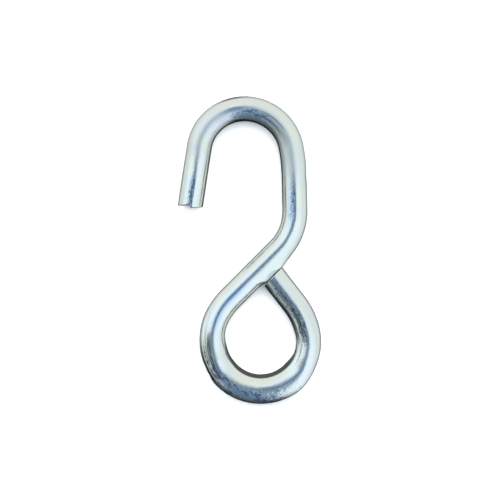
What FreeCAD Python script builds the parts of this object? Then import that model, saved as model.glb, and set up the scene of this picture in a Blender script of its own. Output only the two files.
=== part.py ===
import FreeCAD, Part
import math
import os

# Safety chain hook: one length of round steel bar, bent cold into an open hook and a closed eye.
# Lengths are in millimetres and angles in degrees. The hook lies flat on its side: +Y runs along
# its length towards the open hook, +X towards the side that the shank is on, and +Z up out of the
# hook's plane. The origin is under the middle of the hook's box, on the surface that it lies on.

# The bar: 3/8 inch.
BAR_R = 9.5 / 2.0

# The open hook, from its free tip. Radii are to the bar's centreline, and a left turn is positive.
TIP_HEADING = 81.4
TIP_LEG = 22.9
HOOK_LEAD_R = 16.5
HOOK_LEAD_TURN = -45.3
HOOK_CROWN_R = 17.8
HOOK_CROWN_TURN = -115.2
SHOULDER_R = 62.6
SHOULDER_TURN = -9.5
SHANK = 13.4

# The waist, where the bar crosses over from the shank to the eye's far side.
WAIST_R = 20.6
WAIST_TURN = -46.4
DIAGONAL = 26.2

# The eye, bent round until its sheared end bears on the side of the diagonal.
EYE_LEAD_R = 22.0
EYE_LEAD_TURN = 48.9
EYE_BOTTOM_R = 18.1
EYE_BOTTOM_TURN = 159.0
EYE_SIDE_R = 17.2
EYE_SIDE_TURN = 30.3
EYE_RETURN_R = 27.6
EYE_RETURN_TURN = 24.9
EYE_END_LEG = 12.6

# The bar is squeezed round the eye's bottom: wider in the hook's plane and thinner through it.
SQUEEZED_HALF_WIDTH = 11.1 / 2.0
SQUEEZE_RISE_TURN = 44.0
SQUEEZE_FALL_TURN = 34.0
SQUEEZE_STATIONS = 24

# The diagonal's side is upset where the eye's end bears on it.
SEAT_SWELL = 0.45
SEAT_START = 1.4
SEAT_LENGTH = 13.4
SEAT_STATIONS = 12

# The two sheared ends. The eye's end stands this gap off its seat.
END_GAP = 0.4
END_RIM_CHAMFER = 0.45
TIP_STEP = 1.0
TIP_CUT_TILT = 10.5
TIP_CUT_PROUD = 0.25
TIP_RIM_CHAMFER = 0.3

# Spare length on a leg that is cut to its shape, and spare reach on the tool that cuts it.
CUT_SPARE = 3.0

UP = FreeCAD.Vector(0, 0, 1)


def unit(heading):
    """The unit vector in the hook's plane at a heading."""
    angle = math.radians(heading)
    return FreeCAD.Vector(math.cos(angle), math.sin(angle), 0)


def travel(place, heading, size, turn=0.0):
    """Where a straight of length size ends, or an arc of radius size when there is a turn."""
    if turn == 0:
        return place + unit(heading) * size, heading
    side = math.copysign(90.0, turn)
    centre = place + unit(heading + side) * size
    return centre - unit(heading + turn + side) * size, heading + turn


def ease(share):
    """A smooth step from 0 to 1."""
    share = min(max(share, 0.0), 1.0)
    return share * share * (3.0 - 2.0 * share)


def round_run(place, heading, size, turn=0.0):
    """Plain round bar: a straight of length size, or a bend of radius size."""
    face = Part.Face(Part.Wire(Part.Circle(place, unit(heading), BAR_R).toShape()))
    if turn == 0:
        return face.extrude(unit(heading) * size)
    side = math.copysign(90.0, turn)
    centre = place + unit(heading + side) * size
    return face.revolve(centre, UP * math.copysign(1.0, turn), abs(turn))


def oval_section(place, heading, left, right, half_thickness):
    """An ellipse across the bar, which reaches left and right of the centreline."""
    across = unit(heading + 90.0) * ((left + right) / 2.0)
    ahead = unit(heading)
    centre = place + unit(heading + 90.0) * ((left - right) / 2.0)
    stretch = FreeCAD.Matrix(
        across.x, 0, ahead.x, centre.x,
        across.y, 0, ahead.y, centre.y,
        0, half_thickness, 0, centre.z,
        0, 0, 0, 1,
    )
    return Part.Wire(Part.Circle().toShape()).transformGeometry(stretch)


def seat_run(place, heading):
    """The stretch of the diagonal whose left side is upset by the eye's end."""
    sections = []
    for station in range(SEAT_STATIONS + 1):
        share = station / SEAT_STATIONS
        swell = SEAT_SWELL * ease(2.0 * min(share, 1.0 - share))
        spot, _ = travel(place, heading, SEAT_LENGTH * share)
        sections.append(oval_section(spot, heading, BAR_R + swell, BAR_R, BAR_R))
    return Part.makeLoft(sections, True, False)


def squeezed_bend(place, heading):
    """The eye's bottom. Its section keeps the round bar's area as it widens and thins."""
    sections = []
    for station in range(SQUEEZE_STATIONS + 1):
        turned = EYE_BOTTOM_TURN * station / SQUEEZE_STATIONS
        rise = ease(turned / SQUEEZE_RISE_TURN)
        fall = ease((EYE_BOTTOM_TURN - turned) / SQUEEZE_FALL_TURN)
        half_width = BAR_R + (SQUEEZED_HALF_WIDTH - BAR_R) * min(rise, fall)
        half_thickness = BAR_R * BAR_R / half_width
        spot, way = place, heading
        if turned > 0:
            spot, way = travel(place, heading, EYE_BOTTOM_R, turned)
        sections.append(oval_section(spot, way, half_width, half_width, half_thickness))
    return Part.makeLoft(sections, True, False)


def prism(points):
    """A solid through the bar's whole thickness, with this outline in the hook's plane."""
    deep = UP * (BAR_R + CUT_SPARE)
    outline = Part.makePolygon([point - deep for point in points + points[:1]])
    return Part.Face(outline).extrude(deep * 2.0)


def broken_rim(leg, size):
    """Chamfers the rim of a leg's slanting cut. Only that rim has elliptical edges."""
    rim = [edge for edge in leg.Edges if isinstance(edge.Curve, Part.Ellipse)]
    return leg.makeChamfer(size, rim)


def tip_leg(place, heading):
    """The hook's free leg. Its end is sheared in two slanting halves, with a step between them."""
    out = unit(heading + 180.0)
    right = unit(heading - 90.0)
    slope = math.tan(math.radians(TIP_CUT_TILT))
    reach = BAR_R + CUT_SPARE

    def cut_point(across, step):
        return place + right * across + out * (TIP_CUT_PROUD - slope * (across + BAR_R) + step)

    cutter = prism([
        cut_point(-reach, 0.0),
        cut_point(0.0, 0.0),
        cut_point(0.0, TIP_STEP),
        cut_point(reach, TIP_STEP),
        place + (right + out) * reach,
        place + (out - right) * reach,
    ])
    leg = round_run(place + out * CUT_SPARE, heading, TIP_LEG + CUT_SPARE)
    return broken_rim(leg.cut(cutter).Solids[0], TIP_RIM_CHAMFER)


def eye_end_leg(place, heading, seat, seat_heading):
    """The eye's last leg, sheared along the side of the diagonal that it bears on."""
    along = unit(seat_heading) * EYE_END_LEG
    off = unit(seat_heading + 90.0)
    cut_line = seat + off * (BAR_R + SEAT_SWELL + END_GAP)
    past = off * EYE_END_LEG
    cutter = prism([
        cut_line - along,
        cut_line + along,
        cut_line + along - past,
        cut_line - along - past,
    ])
    leg = round_run(place, heading, EYE_END_LEG + CUT_SPARE)
    return broken_rim(leg.cut(cutter).Solids[0], END_RIM_CHAMFER)


class Bar:
    """The bar as far as it is bent: its runs, and where its centreline has got to."""

    def __init__(self, place, heading):
        self.place = place
        self.heading = heading
        self.runs = []

    def add(self, run, size, turn=0.0):
        self.runs.append(run)
        self.place, self.heading = travel(self.place, self.heading, size, turn)

    def add_round(self, size, turn=0.0):
        self.add(round_run(self.place, self.heading, size, turn), size, turn)

    def solid(self):
        return self.runs[0].fuse(self.runs[1:]).Solids[0]


def hook_bar():
    """The whole bar, run after run from the free tip to the eye's end."""
    bar = Bar(FreeCAD.Vector(0, 0, BAR_R), TIP_HEADING)
    bar.add(tip_leg(bar.place, bar.heading), TIP_LEG)
    bar.add_round(HOOK_LEAD_R, HOOK_LEAD_TURN)
    bar.add_round(HOOK_CROWN_R, HOOK_CROWN_TURN)
    bar.add_round(SHOULDER_R, SHOULDER_TURN)
    bar.add_round(SHANK)
    bar.add_round(WAIST_R, WAIST_TURN)

    bar.add_round(SEAT_START)
    seat_heading = bar.heading
    seat, _ = travel(bar.place, seat_heading, SEAT_LENGTH / 2.0)
    bar.add(seat_run(bar.place, bar.heading), SEAT_LENGTH)
    bar.add_round(DIAGONAL - SEAT_START - SEAT_LENGTH)

    bar.add_round(EYE_LEAD_R, EYE_LEAD_TURN)
    bar.add(squeezed_bend(bar.place, bar.heading), EYE_BOTTOM_R, EYE_BOTTOM_TURN)
    bar.add_round(EYE_SIDE_R, EYE_SIDE_TURN)
    bar.add_round(EYE_RETURN_R, EYE_RETURN_TURN)
    bar.add(eye_end_leg(bar.place, bar.heading, seat, seat_heading), EYE_END_LEG)
    return bar.solid()


def main():
    hook = hook_bar()
    box = hook.optimalBoundingBox(False, False)
    hook.translate(FreeCAD.Vector(-box.Center.x, -box.Center.y, -box.ZMin))
    os.makedirs("parts", exist_ok=True)
    hook.exportStep("parts/hook_bar.step")
    print(f"hook_bar: {box.XLength:.2f} x {box.YLength:.2f} x {box.ZLength:.2f} mm")


main()
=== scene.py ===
import math

import bpy
import numpy as np
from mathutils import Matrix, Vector, noise


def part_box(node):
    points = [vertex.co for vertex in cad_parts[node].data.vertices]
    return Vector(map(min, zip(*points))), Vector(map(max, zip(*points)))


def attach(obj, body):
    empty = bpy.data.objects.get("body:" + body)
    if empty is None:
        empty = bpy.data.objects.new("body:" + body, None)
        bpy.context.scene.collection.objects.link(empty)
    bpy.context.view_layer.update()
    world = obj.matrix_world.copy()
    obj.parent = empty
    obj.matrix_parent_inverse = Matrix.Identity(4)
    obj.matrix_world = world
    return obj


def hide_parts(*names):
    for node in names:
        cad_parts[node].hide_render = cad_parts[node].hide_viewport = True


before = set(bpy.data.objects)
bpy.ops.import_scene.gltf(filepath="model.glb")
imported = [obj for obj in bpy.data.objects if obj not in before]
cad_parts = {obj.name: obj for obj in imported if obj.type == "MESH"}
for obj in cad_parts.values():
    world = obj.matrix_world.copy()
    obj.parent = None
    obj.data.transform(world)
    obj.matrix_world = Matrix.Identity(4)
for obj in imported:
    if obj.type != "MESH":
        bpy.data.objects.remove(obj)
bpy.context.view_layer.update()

# Lengths below are in millimetres and angles in degrees, unless a comment says otherwise.
MM = 0.001

# The bar's centreline, from the free tip round to the eye's end, as the CAD part has it.
# Each run is a straight of one length, or a bend of one radius with a turn, positive to the left.
BAR_R = 9.5 / 2.0
TIP_HEADING = 81.4
RUNS = {
    "tip_leg": (22.9, 0.0),
    "hook_lead": (16.5, -45.3),
    "hook_crown": (17.8, -115.2),
    "shoulder": (62.6, -9.5),
    "shank": (13.4, 0.0),
    "waist": (20.6, -46.4),
    "diagonal": (26.2, 0.0),
    "eye_lead": (22.0, 48.9),
    "eye_bottom": (18.1, 159.0),
    "eye_side": (17.2, 30.3),
    "eye_return": (27.6, 24.9),
    "eye_end": (12.6, 0.0),
}

# The length that each bend's start and end are spread over, and the step of the centreline.
BEND_EASE = 4.0
FINE_STEP = 0.1

# The mesh of the bar: rings across it, and points round each ring.
RING_STEP = 0.42
AROUND = 128

# The squeezed eye bottom: how far each side reaches at its fullest, and by distance along the
# centreline where it starts to grow, is fully grown, starts to shrink, and is round again.
SQUEEZED_INNER = 5.55
SQUEEZED_OUTER = 5.6
INNER_SQUEEZE = (151.5, 161.0, 199.3, 208.0)
OUTER_SQUEEZE = (163.0, 169.5, 196.0, 206.5)

# Where the eye's far limb was pushed out a little further than its round bends.
LIMB_DRIFT = 0.26
DRIFT_SPAN = (142.0, 150.0, 161.0, 169.0)

# The eye's near limb was pressed a little wider than round bar.
LIMB_SWELL = 0.12
SWELL_SPAN = (212.0, 220.0, 250.0, 260.0)

# Bending also rolled the bar a little: the slope across its top, and the span that has it.
ROLLS = (
    (-0.13, (158.0, 174.0, 198.0, 210.0)),
    (0.055, (210.0, 218.0, 250.0, 260.0)),
)

# Marks left by the bending tools: distance along the bar, half length, angle round the bar from
# its left side over the top, half width of that, depth, and ripples on each side of the middle.
MARKS = (
    (43.5, 4.0, 22.0, 16.0, 0.12, 0.0),
    (59.0, 10.0, 116.0, 26.0, 0.20, 1.5),
    (82.0, 5.0, 8.0, 40.0, 0.12, 0.0),
    (157.0, 16.0, 133.0, 30.0, 0.21, 2.0),
    (166.8, 1.7, 180.0, 45.0, 0.22, 0.0),
    (188.0, 1.5, 57.0, 6.0, 0.06, 0.0),
    (206.0, 10.0, 50.0, 25.0, 0.19, 1.5),
)

# The seat on the diagonal that the eye's end bears on: where it is, its shoulders and its swell.
# Its flank is fuller than round, all of it within FLANK_FULL degrees of the hook's plane, and none
# of it past FLANK_TOP.
SEAT_FROM_DIAGONAL_START = 8.1
SEAT_HALF_LENGTH = 3.0
SEAT_RISE = 8.0
SEAT_FALL = 4.4
SEAT_SWELL = 0.75
SEAT_FULLNESS = 0.50
FLANK_TOP = 62.0
FLANK_FULL = 12.0

# The tip's sheared end: two slanting halves with a step between them, and a notch in its top.
TIP_STEP = 1.0
TIP_STEP_WIDTH = 0.25
TIP_CUT_TILT = 10.5
TIP_CUT_PROUD = 0.25
TIP_NOTCH_DEPTH = 0.7
TIP_NOTCH_WIDTH = 0.55
TIP_NOTCH_TO_LEFT = 0.35
TIP_RIM = 0.3
TIP_TEAR_SEED = 3.7

# The eye's sheared end: its gap to the seat, and the corner that broke off it.
END_GAP = 0.06
END_CORNER_DEPTH = 0.5
END_CORNER_START = 2.6
END_CORNER_WIDTH = 2.0
END_RIM = 0.22
END_TEAR_SEED = 9.1

# Both ends: the relief of the torn face, the length of bar that leads up to each, their rings,
# and the last ring's share of the bar's size, which is the small hole that one face closes.
TEAR_HEIGHT = 0.16
CAP_ROOM = 1.6
LEAD_RINGS = 5
RIM_RINGS = 6
FACE_RINGS = 18
FACE_CENTRE = 0.004

# Slow waves left in the surface by drawing and bending: wavelength along, across, and height.
WAVES = ((14.0, 5.0, 0.045), (4.0, 2.2, 0.016))

# Areas of the plate: where each starts, is full, leaves and has gone, along the bar, and then
# across it to the left of its middle. Spots and a painted reflection of the blue cloth overhead
# lie along the crest, and the tools left specks and two thin lines on the faces that they worked.
TIP_SPOTS = ((-9.0, 0.0, 6.0, 18.0), (-0.8, -0.1, 1.2, 1.8))
SHANK_SPOTS = ((80.0, 93.0, 98.0, 106.0), (-2.9, -2.2, 0.0, 0.6))
DIAGONAL_BLUE_REFLECTION = ((122.0, 138.0, 146.0, 156.0), (-1.6, -0.7, 0.9, 2.0))
CROWN_FACE = ((37.0, 44.0, 54.0, 62.0), (-3.8, -2.6, -0.4, 0.8))
EYE_FACE = ((156.0, 166.0, 188.0, 203.0), (-5.6, -4.8, -1.2, -0.2))
LIMB_FACE = ((204.0, 214.0, 234.0, 242.0), (-0.2, 0.8, 2.8, 3.8))
UPPER_LINE = ((51.0, 56.0, 62.0, 67.0), (-0.65, -0.35, 0.05, 0.35))
LOWER_LINE = ((51.0, 56.0, 62.0, 67.0), (-2.5, -2.2, -1.8, -1.5))

# Stretches of the bar: the smudge outside the crown, the insides of the bends where shade is painted,
# the part of the eye where the painted shade reaches further up and by how much, and two satin
# stretches.
SMUDGE = (38.0, 42.0, 45.0, 50.0)
HOOK_INSIDE_SHADE = (-20.0, -6.0, 80.0, 108.0)
EYE_INSIDE_SHADE = (146.0, 160.0, 203.0, 222.0)
EYE_SHADE_SPAN = (164.0, 178.0, 204.0, 216.0)
EYE_SHADE_REACH = 0.40
SATIN_LEG = (12.0, 24.0, 36.0, 44.0)
SATIN_SHANK = (40.0, 56.0, 78.0, 90.0)

# The depth of the plate's fine relief, where its height is 1.
BUMP_DEPTH = 0.28

# The studio, by direction from the hook. An azimuth is counted from +X, and a tilt down from
# overhead. The camera's arm and its dark cloth are towards STAND_AZIMUTH, on the near side.
STAND_AZIMUTH = 262.0
LAMP_AZIMUTHS = (135.0, 315.0)
LAMP_TILT = 44.0
LAMP_FULL = 20.0
LAMP_EDGE = 48.0
SHADED_WALL_AZIMUTH = 198.0
DIM_STAND_AZIMUTH = 207.0

# The key light: a sun, tipped back from overhead to the far side, and as wide as KEY_ANGLE.
KEY_STRENGTH = 4.6
KEY_TILT = -24.0
KEY_ANGLE = 85.0

# The camera looks straight down, with +Y up in the picture. Its sensor's width is in millimetres,
# and all the other lengths here are in metres.
CAMERA_HEIGHT = 1.1
VIEW_WIDTH = 0.1885
CAMERA_OFFSET = (0.00018, -0.00002)
SENSOR_WIDTH = 36.0
FLOOR_RADIUS = 4.0


def ease(x):
    """A smooth step from 0 to 1 of a number or an array."""
    x = np.clip(x, 0.0, 1.0)
    return x * x * (3.0 - 2.0 * x)


def run_length(run):
    size, turn = run
    return size if turn == 0 else size * math.radians(abs(turn))


def run_starts():
    """The distance along the centreline at which each run starts."""
    starts = {}
    total = 0.0
    for name, run in RUNS.items():
        starts[name] = total
        total += run_length(run)
    starts["end"] = total
    return starts


STARTS = run_starts()


def centreline():
    """The centreline at fine steps: distance, place and heading. Its bends start and end softly."""
    knots = [0.0]
    headings = [math.radians(TIP_HEADING)]
    for run in RUNS.values():
        knots.append(knots[-1] + run_length(run))
        headings.append(headings[-1] + math.radians(run[1]))
    s = np.arange(-CAP_ROOM, knots[-1] + CAP_ROOM, FINE_STEP)
    wide = np.arange(s[0] - BEND_EASE, s[-1] + BEND_EASE + FINE_STEP, FINE_STEP)
    window = np.hanning(int(BEND_EASE / FINE_STEP) + 1)
    window /= window.sum()
    smooth = np.convolve(np.interp(wide, knots, headings), window, mode="same")
    heading = np.interp(s, wide, smooth)
    x = np.concatenate([[0.0], np.cumsum(np.cos(heading[:-1]) * FINE_STEP)])
    y = np.concatenate([[0.0], np.cumsum(np.sin(heading[:-1]) * FINE_STEP)])
    return s, x, y, heading


LINE = centreline()


def at(s):
    """Place, forward direction and left direction at distances along the centreline."""
    fine_s, x, y, heading = LINE
    angle = np.interp(s, fine_s, heading)
    place = np.stack([np.interp(s, fine_s, x), np.interp(s, fine_s, y)], -1)
    forward = np.stack([np.cos(angle), np.sin(angle)], -1)
    left = np.stack([-np.sin(angle), np.cos(angle)], -1)
    return place, forward, left


def grown(s, span):
    """0 outside a span and 1 on its plateau, with soft shoulders."""
    start, full, leave, done = span
    return ease((s - start) / (full - start)) * ease((done - s) / (done - leave))


def seat_share(s):
    """1 on the seat that the eye's end bears on, with a long shoulder before and a short one after."""
    seat = STARTS["diagonal"] + SEAT_FROM_DIAGONAL_START
    start = seat - SEAT_HALF_LENGTH
    leave = seat + SEAT_HALF_LENGTH
    return grown(s, (start - SEAT_RISE, start, leave, leave + SEAT_FALL))


def half_sizes(s):
    """The bar's reach to the left, to the right and up from its centreline."""
    left = BAR_R + (SQUEEZED_INNER - BAR_R) * grown(s, INNER_SQUEEZE)
    right = BAR_R + (SQUEEZED_OUTER - BAR_R) * grown(s, OUTER_SQUEEZE)
    up = BAR_R * BAR_R / ((left + right) / 2.0)
    drift = LIMB_DRIFT * grown(s, DRIFT_SPAN)
    limb = LIMB_SWELL * grown(s, SWELL_SPAN)
    left = left + SEAT_SWELL * seat_share(s) - drift + limb
    right = right + drift + limb
    return left, right, up


def section(s, shrink=1.0):
    """How far each point of a ring lies to the left of the centreline, and above it."""
    angle = np.arange(AROUND) * (2.0 * math.pi / AROUND) - math.pi / 2.0
    left, right, up = half_sizes(s)
    flank = ease((FLANK_TOP - np.abs(np.degrees(angle))) / (FLANK_TOP - FLANK_FULL))
    power = 1.0 - SEAT_FULLNESS * seat_share(s) * flank
    rise = up * np.sign(np.sin(angle)) * np.abs(np.sin(angle)) ** power * shrink
    across = np.where(np.cos(angle) > 0.0, left, right) * np.cos(angle) * shrink
    for slope, span in ROLLS:
        rise = rise + slope * grown(s, span) * across
    return across, rise


class Skin:
    """The rings of the bar's surface, from the middle of one end face to the middle of the other."""

    def __init__(self):
        self.points = []
        self.bar_places = []

    def add(self, s, shrink=1.0):
        """A ring at a distance along the bar, which may differ from point to point round the ring."""
        s = np.full(AROUND, s) if np.isscalar(s) else s
        across, rise = section(s, shrink)
        place, _, left_way = at(s)
        flat = place + left_way * across[:, None]
        self.points.append(np.column_stack([flat, rise]))
        self.bar_places.append(np.column_stack([s, across, rise]))


def tip_cut(across, rise):
    """How far the tip's sheared face stands out past the route's start, at a point across the bar."""
    to_right = -across
    slope = math.tan(math.radians(TIP_CUT_TILT))
    step = TIP_STEP * ease(to_right / TIP_STEP_WIDTH + 0.5)
    off_notch = (to_right + TIP_NOTCH_TO_LEFT) / TIP_NOTCH_WIDTH
    notch = TIP_NOTCH_DEPTH * np.exp(-(off_notch ** 2)) * ease(rise / BAR_R)
    return TIP_CUT_PROUD - slope * (to_right + BAR_R) + step - notch


def end_cut(across, rise):
    """How far the eye's sheared face stands out past the route's end, at a point across the bar."""
    seat = STARTS["diagonal"] + SEAT_FROM_DIAGONAL_START
    seat_place, seat_way, off = at(np.array(seat))
    route_end, forward, left = at(np.array(STARTS["end"]))
    along_seat = (route_end - seat_place) @ seat_way + across * (left @ seat_way)
    reach = BAR_R + SEAT_SWELL * seat_share(seat + along_seat) + END_GAP
    miss = reach - (route_end - seat_place) @ off - across * (left @ off)
    corner = END_CORNER_DEPTH * ease((across - END_CORNER_START) / END_CORNER_WIDTH)
    return miss / (forward @ off) - corner


def torn(across, rise, seed):
    """The roughness of a sheared face, in millimetres."""
    rough = [
        noise.fractal(Vector((a * 0.9, z * 0.35, seed)), 0.9, 2.2, 4)
        for a, z in zip(across, rise)
    ]
    return np.array(rough) * TEAR_HEIGHT


def add_cap(skin, base, direction, cut, rim, seed, end_place):
    """Rings from a base ring out to a sheared face, round its rim and in to its middle."""
    rings = []
    across, rise = section(base)
    rim_out = cut(across, rise)
    for k in range(1, LEAD_RINGS + 1):
        share = k / LEAD_RINGS
        target = end_place + direction * (rim_out - rim)
        rings.append((base + (target - base) * share, 1.0))
    for k in range(1, RIM_RINGS + 1):
        turn = math.pi / 2.0 * k / RIM_RINGS
        out = rim_out - rim * (1.0 - math.sin(turn))
        rings.append((end_place + direction * out, 1.0 - rim / BAR_R * (1.0 - math.cos(turn))))
    edge = 1.0 - rim / BAR_R
    for k in range(1, FACE_RINGS + 1):
        share = k / FACE_RINGS
        shrink = edge * (1.0 - share) + FACE_CENTRE * share
        a, z = section(base, shrink)
        relief = torn(a, z, seed) * ease(share * 4.0)
        rings.append((end_place + direction * (cut(a, z) + relief), shrink))
    if direction < 0:
        rings.reverse()
    for s, shrink in rings:
        skin.add(s, shrink)


def hook_skin():
    """Every ring of the bar: its points, and each point's place along, across and up the bar."""
    skin = Skin()
    first = CAP_ROOM
    last = STARTS["end"] - CAP_ROOM
    add_cap(skin, np.full(AROUND, first), -1.0, tip_cut, TIP_RIM, TIP_TEAR_SEED, 0.0)
    for s in np.linspace(first, last, int((last - first) / RING_STEP)):
        skin.add(s)
    add_cap(skin, np.full(AROUND, last), 1.0, end_cut, END_RIM, END_TEAR_SEED, STARTS["end"])
    return np.array(skin.points), np.array(skin.bar_places)


def surface_waves(bar_places):
    """How far the slow waves raise the surface."""
    waves = np.zeros(len(bar_places))
    for along, over, height in WAVES:
        scaled = bar_places / np.array([along, over, over])
        waves += height * np.array([noise.noise(Vector(p)) for p in scaled])
    return waves


def bump(x):
    """A smooth hump that is 1 at 0 and falls to 0 at 1 either way."""
    return np.where(np.abs(x) < 1.0, 0.5 + 0.5 * np.cos(math.pi * x), 0.0)


def tool_marks(bar_places):
    """How far the tool marks push the surface in."""
    round_angle = np.degrees(np.arctan2(bar_places[:, 2], bar_places[:, 1]))
    round_angle = np.where(round_angle < -90.0, round_angle + 360.0, round_angle)
    pushed = np.zeros(len(bar_places))
    for along, half_length, angle, half_width, depth, ripples in MARKS:
        u = (bar_places[:, 0] - along) / half_length
        v = (round_angle - angle) / half_width
        pushed += depth * bump(u) * bump(v) * np.cos(math.pi * ripples * v)
    return pushed


def push_out(points, bar_places):
    """Moves each point along the section's own normal, by the waves and the tool marks."""
    _, _, left_way = at(bar_places[:, 0])
    in_section = bar_places[:, 1:]
    outward = in_section / np.maximum(np.linalg.norm(in_section, axis=1), 0.01)[:, None]
    push = surface_waves(bar_places) - tool_marks(bar_places)
    points[:, :2] += left_way * (outward[:, 0] * push)[:, None]
    points[:, 2] += outward[:, 1] * push


def placed(points):
    """The points in metres, over the middle of the CAD bar's box."""
    low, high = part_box("hook_bar")
    middle = (points.min(0) + points.max(0)) / 2.0
    shift = np.array([(low.x + high.x) / 2.0, (low.y + high.y) / 2.0, BAR_R * MM])
    return (points - np.array([middle[0], middle[1], 0.0])) * MM + shift


def skin_faces(rings):
    """Quads from ring to ring, and one small face that closes each end."""
    index = np.arange(rings * AROUND).reshape(rings, AROUND)
    here = index[:-1]
    ahead = index[1:]
    quads = np.stack(
        [here, np.roll(here, -1, 1), np.roll(ahead, -1, 1), ahead], -1
    ).reshape(-1, 4)
    faces = [tuple(quad[::-1]) for quad in quads.tolist()]
    faces.append(tuple(index[0].tolist()))
    faces.append(tuple(index[-1][::-1].tolist()))
    return faces


def make_hook():
    """The bar's mesh. It carries where on the bar each point lies, which its material reads."""
    points, bar_places = hook_skin()
    faces = skin_faces(len(points))
    points = points.reshape(-1, 3)
    bar_places = bar_places.reshape(-1, 3)
    push_out(points, bar_places)

    mesh = bpy.data.meshes.new("hook_skin")
    mesh.from_pydata(placed(points).tolist(), [], faces)
    mesh.polygons.foreach_set("use_smooth", [True] * len(faces))
    attribute = mesh.attributes.new("bar_place", "FLOAT_VECTOR", "POINT")
    attribute.data.foreach_set("vector", bar_places.astype(np.float32).ravel())
    mesh.update()
    hook = bpy.data.objects.new("plated_hook", mesh)
    bpy.context.scene.collection.objects.link(hook)
    return hook


class Nodes:
    """Short ways to build a node tree."""

    def __init__(self, tree):
        self.tree = tree
        tree.nodes.clear()

    def new(self, kind, **settings):
        node = self.tree.nodes.new(kind)
        for name, value in settings.items():
            setattr(node, name, value)
        return node

    def put(self, socket, value):
        if isinstance(value, bpy.types.NodeSocket):
            self.tree.links.new(value, socket)
        else:
            socket.default_value = value

    def math(self, operation, *values, clamp=False):
        node = self.new("ShaderNodeMath", operation=operation, use_clamp=clamp)
        for socket, value in zip(node.inputs, values):
            self.put(socket, value)
        return node.outputs[0]

    def vector(self, operation, *values):
        node = self.new("ShaderNodeVectorMath", operation=operation)
        for socket, value in zip(node.inputs, values):
            self.put(socket, value)
        return node.outputs["Value" if operation in ("DOT_PRODUCT", "LENGTH") else "Vector"]

    def smooth(self, value, low, high, to_low=0.0, to_high=1.0):
        node = self.new("ShaderNodeMapRange", interpolation_type="SMOOTHSTEP")
        for name, given in (
            ("Value", value),
            ("From Min", low),
            ("From Max", high),
            ("To Min", to_low),
            ("To Max", to_high),
        ):
            self.put(node.inputs[name], given)
        return node.outputs["Result"]

    def mix(self, share, a, b):
        node = self.new("ShaderNodeMix", data_type="RGBA")
        self.put(node.inputs[0], share)
        self.put(node.inputs[6], a)
        self.put(node.inputs[7], b)
        return node.outputs[2]

    def noise(self, place, scale, detail=2.0, roughness=0.5):
        node = self.new("ShaderNodeTexNoise")
        self.put(node.inputs["Vector"], place)
        self.put(node.inputs["Scale"], scale)
        self.put(node.inputs["Detail"], detail)
        self.put(node.inputs["Roughness"], roughness)
        return node.outputs[0]


def band(n, value, span):
    """1 where a value is within a span, with soft ends."""
    start, full, leave, done = span
    rise = n.smooth(value, start, full)
    fall = n.smooth(value, leave, done, 1.0, 0.0)
    return n.math("MULTIPLY", rise, fall)


class Plate:
    """Where each area of the zinc plate is, as sockets of the material's node tree."""

    def __init__(self, n):
        self.n = n
        self.place = n.new("ShaderNodeAttribute", attribute_name="bar_place").outputs["Vector"]
        parts = n.new("ShaderNodeSeparateXYZ")
        n.put(parts.inputs[0], self.place)
        self.along = parts.outputs[0]
        self.across = parts.outputs[1]
        # Noise by this place is drawn out along the bar.
        self.drawn = n.vector("MULTIPLY", self.place, (0.22, 1.0, 1.0))
        self.spots = n.math("ADD", self.area(TIP_SPOTS), self.area(SHANK_SPOTS))
        self.crown = self.area(CROWN_FACE)
        self.limb = self.area(LIMB_FACE)
        self.specked = self.find_specked()
        self.dull_and_shaded = self.find_dull_and_shaded()
        self.sheared = self.find_sheared()

    def area(self, spans):
        """1 in the middle of an area and 0 outside it, with soft edges."""
        along_span, across_span = spans
        along = band(self.n, self.along, along_span)
        return self.n.math("MULTIPLY", along, band(self.n, self.across, across_span))

    def find_specked(self):
        """Where specks gather in clusters: the faces that the tools bore on, and the spots."""
        n = self.n
        faces = n.math("ADD", n.math("ADD", self.crown, self.area(EYE_FACE)), self.limb)
        specked = n.math("ADD", faces, self.spots, clamp=True)
        cluster = n.smooth(n.noise(self.drawn, 0.55, 2.0), 0.35, 0.60, 0.5, 1.0)
        return n.math("MULTIPLY", specked, cluster)

    def find_dull_and_shaded(self):
        """The inner flank of each bend, painted near black as shade, and with rougher plate."""
        n = self.n
        hook_flank = n.smooth(self.across, -3.9, -4.5)
        shade_reach = band(n, self.along, EYE_SHADE_SPAN)
        eye_depth = n.math("MULTIPLY_ADD", shade_reach, EYE_SHADE_REACH, self.across)
        eye_flank = n.smooth(eye_depth, 4.2, 4.75)
        hook_shade = n.math("MULTIPLY", band(n, self.along, HOOK_INSIDE_SHADE), hook_flank)
        eye_shade = n.math("MULTIPLY", band(n, self.along, EYE_INSIDE_SHADE), eye_flank)
        return n.math("ADD", hook_shade, eye_shade, clamp=True)

    def find_sheared(self):
        """The raw face of the tip."""
        n = self.n
        radius = n.vector("LENGTH", n.vector("MULTIPLY", self.place, (0.0, 1.0, 1.0)))
        near_end = n.smooth(self.along, 2.0, 1.8)
        return n.math("MULTIPLY", near_end, n.smooth(radius, 4.55, 4.35))


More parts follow.
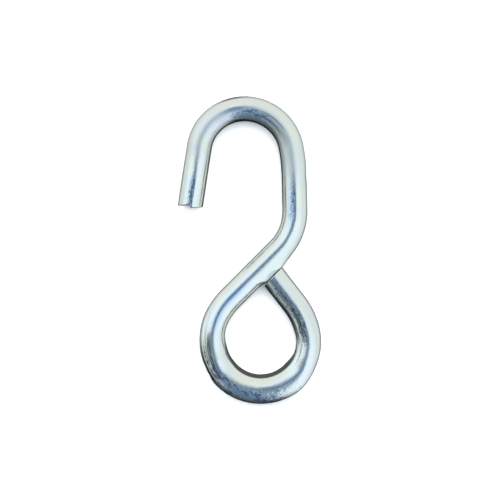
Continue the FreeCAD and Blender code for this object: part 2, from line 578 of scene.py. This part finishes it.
def plate_colour(n, plate):
    """Cool and straw tints under a painted blue reflection, specks, the smudge, the lines, painted
    shade on the insides of the bends, and raw steel.
    """

    def over(area, strength, colour, base):
        return n.mix(n.math("MULTIPLY", area, strength), base, colour)

    cool_share = n.smooth(n.noise(plate.place, 0.09, 2.0), 0.42, 0.62)
    straw_share = n.smooth(n.noise(plate.place, 0.13, 1.0), 0.5, 0.75)
    base = n.mix(cool_share, (0.75, 0.80, 0.79, 1), (0.77, 0.80, 0.83, 1))
    base = n.mix(straw_share, base, (0.80, 0.82, 0.75, 1))

    # Painted reflection: a blue tint along the crest, on the spots, the diagonal and the crown, for
    # the blue cloth overhead.
    painted_blue = n.math("MULTIPLY", plate.spots, 0.7)
    painted_blue = n.math("MULTIPLY_ADD", plate.area(DIAGONAL_BLUE_REFLECTION), 0.8, painted_blue)
    painted_blue = n.math("ADD", painted_blue, n.math("MULTIPLY", plate.crown, 0.35), clamp=True)
    base = over(painted_blue, 0.8, (0.45, 0.62, 0.86, 1), base)
    base = over(plate.limb, 0.6, (0.60, 0.65, 0.60, 1), base)

    stretched = n.vector("MULTIPLY", plate.place, (0.5, 1.0, 1.0))
    pits = n.noise(stretched, 1.15, 3.0, 0.66)
    edge = n.math("MULTIPLY_ADD", plate.specked, -0.23, 0.70)
    pitted = n.smooth(n.math("SUBTRACT", pits, edge), 0.0, 0.07)
    base = over(pitted, 0.75, (0.14, 0.20, 0.34, 1), base)

    smudge = n.math("MULTIPLY", band(n, plate.along, SMUDGE), n.smooth(plate.across, 3.5, 4.3))
    base = over(smudge, 0.6, (0.33, 0.30, 0.31, 1), base)
    lines = n.math("ADD", plate.area(UPPER_LINE), plate.area(LOWER_LINE))
    base = over(lines, 0.75, (0.25, 0.32, 0.42, 1), base)
    # Painted shade: the inner flanks of the bends are painted near black.
    base = over(plate.dull_and_shaded, 0.95, (0.07, 0.08, 0.065, 1), base)
    return n.mix(plate.sheared, base, (0.36, 0.37, 0.37, 1))


def plate_roughness(n, plate):
    """Fine grain, rougher on the painted-shade insides of the bends, and where satin or sheared."""
    satin = n.math("ADD", band(n, plate.along, SATIN_LEG), band(n, plate.along, SATIN_SHANK))
    rough = n.smooth(n.noise(plate.drawn, 2.2, 3.0, 0.6), 0.3, 0.75, 0.10, 0.19)
    rough = n.math("MULTIPLY_ADD", plate.dull_and_shaded, 0.15, rough)
    rough = n.math("MULTIPLY_ADD", satin, 0.26, rough)
    return n.math("MULTIPLY_ADD", plate.sheared, 0.30, rough)


def plate_bump(n, plate):
    """Drawn lines all along, and orange peel where the plate is specked."""
    peel = n.noise(plate.place, 1.15, 2.5, 0.6)
    peel_share = n.math("MULTIPLY_ADD", plate.specked, 0.32, 0.08)
    fine = n.noise(plate.drawn, 3.0, 3.0, 0.6)
    height = n.math("MULTIPLY_ADD", fine, 0.12, n.math("MULTIPLY", peel, peel_share))
    node = n.new("ShaderNodeBump")
    node.inputs["Strength"].default_value = 1.0
    node.inputs["Distance"].default_value = BUMP_DEPTH * MM
    n.put(node.inputs["Height"], height)
    return node.outputs[0]


def zinc_material():
    """Bright zinc plate on cold-bent bar."""
    material = bpy.data.materials.new("zinc_plate")
    material.use_nodes = True
    n = Nodes(material.node_tree)
    plate = Plate(n)
    shader = n.new("ShaderNodeBsdfPrincipled")
    n.put(shader.inputs["Metallic"], n.math("MULTIPLY_ADD", plate.sheared, -0.8, 1.0))
    n.put(shader.inputs["Base Color"], plate_colour(n, plate))
    n.put(shader.inputs["Roughness"], plate_roughness(n, plate))
    n.put(shader.inputs["Normal"], plate_bump(n, plate))
    output = n.new("ShaderNodeOutputMaterial")
    n.put(output.inputs["Surface"], shader.outputs[0])
    return material


def sky_direction(azimuth, tilt):
    """A direction from the object, with azimuth counted from +X and tilt down from straight up."""
    a = math.radians(azimuth)
    t = math.radians(tilt)
    return (math.sin(t) * math.cos(a), math.sin(t) * math.sin(a), math.cos(t))


def angle_of(n, sine):
    """The angle in degrees that has this sine."""
    kept = n.math("MAXIMUM", n.math("MINIMUM", sine, 1.0), -1.0)
    return n.math("DEGREES", n.math("ARCSINE", kept))


class Sky:
    """A direction into the studio, as sockets. Far is its +Y part, and angles are in degrees."""

    def __init__(self, n):
        self.n = n
        self.way = n.new("ShaderNodeTexCoord").outputs["Generated"]
        parts = n.new("ShaderNodeSeparateXYZ")
        n.put(parts.inputs[0], self.way)
        self.far = parts.outputs[1]
        self.up = parts.outputs[2]
        self.tilt = n.math("SUBTRACT", 90.0, angle_of(n, self.up))

    def facing(self, azimuth, tilt=90.0):
        """The cosine of the angle to a direction."""
        return self.n.vector("DOT_PRODUCT", self.way, sky_direction(azimuth, tilt))

    def lean(self, azimuth):
        """How far it leans from overhead towards an azimuth."""
        return self.n.math("DEGREES", self.n.math("ARCTAN2", self.facing(azimuth), self.up))

    def side(self, azimuth):
        """How far it is off to the left of an azimuth, as seen from the hook."""
        return angle_of(self.n, self.facing(azimuth + 90.0))


def room_colour(n, sky):
    """White walls, straw on the far side, with two cool lamps, and grey under the horizon."""
    room = n.mix(n.smooth(sky.tilt, 48.0, 75.0), (0.92, 0.97, 0.98, 1), (0.88, 0.93, 0.92, 1))
    edge = math.cos(math.radians(LAMP_EDGE))
    full = math.cos(math.radians(LAMP_FULL))
    for azimuth in LAMP_AZIMUTHS:
        lamp = n.smooth(sky.facing(azimuth, LAMP_TILT), edge, full)
        room = n.mix(lamp, room, (1.00, 1.14, 1.20, 1))
    room = n.mix(n.smooth(sky.far, 0.35, 0.8), room, (0.96, 0.97, 0.90, 1))
    room = n.mix(n.smooth(sky.tilt, 104.0, 145.0), room, (0.26, 0.28, 0.28, 1))

    # The wall on the left is in shade low down.
    shaded = n.smooth(sky.facing(SHADED_WALL_AZIMUTH), 0.86, 0.97)
    shaded = n.math("MULTIPLY", shaded, n.smooth(sky.tilt, 72.0, 88.0))
    return n.mix(n.math("MULTIPLY", shaded, 0.75), room, (0.24, 0.27, 0.27, 1))


def dim_stand(n, sky):
    """1 on a dim stand on the left, from some way off overhead most of the way down."""
    down = sky.lean(DIM_STAND_AZIMUTH)
    aside = n.math("ABSOLUTE", sky.side(DIM_STAND_AZIMUTH))
    leg = n.math("MULTIPLY", n.smooth(down, 12.0, 26.0), n.smooth(down, 55.0, 72.0, 1.0, 0.0))
    return n.math("MULTIPLY", leg, n.smooth(aside, 7.0, 16.0, 1.0, 0.0))


def camera_arm(n, lean, side):
    """1 on the camera's arm: narrow overhead, widening to a dark cloth on the near side."""
    reach = n.math("MULTIPLY_ADD", n.smooth(lean, 12.0, 62.0), 15.5, 11.5)
    reach = n.math("MULTIPLY_ADD", n.smooth(lean, 55.0, 85.0), 20.0, reach)
    middle = n.smooth(lean, 45.0, 85.0, -3.5, -13.0)
    off = n.math("ABSOLUTE", n.math("SUBTRACT", side, middle))
    soft = n.math("DIVIDE", n.math("SUBTRACT", off, reach), n.smooth(lean, 0.0, 70.0, 9.0, 12.0))
    inside = n.smooth(soft, -1.0, 1.0, 1.0, 0.0)
    ahead = n.smooth(lean, -30.0, -16.0)
    ahead = n.math("MULTIPLY", ahead, n.smooth(lean, 150.0, 175.0, 1.0, 0.0))
    return n.math("MULTIPLY", inside, ahead)


def cloth_colour(n, lean):
    """Blue-black overhead, and greyer and darker down to the floor."""
    cloth = n.mix(n.smooth(lean, 2.0, 18.0), (0.14, 0.22, 0.34, 1), (0.12, 0.22, 0.36, 1))
    cloth = n.mix(n.smooth(lean, 35.0, 60.0), cloth, (0.15, 0.20, 0.28, 1))
    cloth = n.mix(n.smooth(lean, 66.0, 88.0), cloth, (0.10, 0.12, 0.14, 1))
    return n.mix(n.smooth(lean, 92.0, 118.0), cloth, (0.03, 0.03, 0.03, 1))


def make_world():
    """A white studio with a dark camera stand. The camera itself sees plain white past the floor."""
    world = bpy.data.worlds.new("studio")
    bpy.context.scene.world = world
    world.use_nodes = True
    n = Nodes(world.node_tree)
    sky = Sky(n)
    lean = sky.lean(STAND_AZIMUTH)
    side = sky.side(STAND_AZIMUTH)
    studio = n.mix(dim_stand(n, sky), room_colour(n, sky), (0.06, 0.085, 0.09, 1))
    studio = n.mix(camera_arm(n, lean, side), studio, cloth_colour(n, lean))

    seen = n.new("ShaderNodeLightPath").outputs["Is Camera Ray"]
    background = n.new("ShaderNodeBackground")
    n.put(background.inputs["Color"], n.mix(seen, studio, (0.97, 0.97, 0.97, 1)))
    background.inputs["Strength"].default_value = 1.0
    output = n.new("ShaderNodeOutputWorld")
    n.put(output.inputs["Surface"], background.outputs[0])


def make_key():
    """A wide soft light from high on the far side. It lights the floor, and isn't mirrored."""
    data = bpy.data.lights.new("key", "SUN")
    data.energy = KEY_STRENGTH
    data.angle = math.radians(KEY_ANGLE)
    key = bpy.data.objects.new("key", data)
    key.rotation_euler = (math.radians(KEY_TILT), 0.0, 0.0)
    key.visible_glossy = False
    bpy.context.scene.collection.objects.link(key)


def make_floor():
    """A plain white floor. The hook doesn't mirror it, because it mirrors the studio instead."""
    bpy.ops.mesh.primitive_circle_add(vertices=96, radius=FLOOR_RADIUS, fill_type="NGON")
    floor = bpy.context.object
    floor.name = "floor"
    material = bpy.data.materials.new("white_floor")
    material.use_nodes = True
    n = Nodes(material.node_tree)
    place = n.new("ShaderNodeTexCoord").outputs["Object"]
    shade = n.noise(place, 9.0, 3.0)
    colour = n.mix(shade, (0.90, 0.90, 0.90, 1), (0.93, 0.93, 0.93, 1))
    shader = n.new("ShaderNodeBsdfPrincipled")
    n.put(shader.inputs["Base Color"], colour)
    shader.inputs["Roughness"].default_value = 0.7
    shader.inputs["Specular IOR Level"].default_value = 0.2
    output = n.new("ShaderNodeOutputMaterial")
    n.put(output.inputs["Surface"], shader.outputs[0])
    floor.data.materials.append(material)
    floor.visible_glossy = False


def make_camera():
    data = bpy.data.cameras.new("camera")
    camera = bpy.data.objects.new("camera", data)
    bpy.context.scene.collection.objects.link(camera)
    middle = BAR_R * MM
    camera.location = (CAMERA_OFFSET[0], CAMERA_OFFSET[1], CAMERA_HEIGHT + middle)
    data.sensor_width = SENSOR_WIDTH
    data.lens = data.sensor_width * CAMERA_HEIGHT / VIEW_WIDTH
    data.clip_start = 0.01
    data.clip_end = 20.0
    bpy.context.scene.camera = camera


def main():
    scene = bpy.context.scene
    scene.view_settings.view_transform = "Standard"
    scene.view_settings.look = "None"
    make_world()
    make_key()
    make_floor()
    make_camera()
    hook = make_hook()
    hook.data.materials.append(zinc_material())
    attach(hook, "root")
    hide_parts("hook_bar")


main()
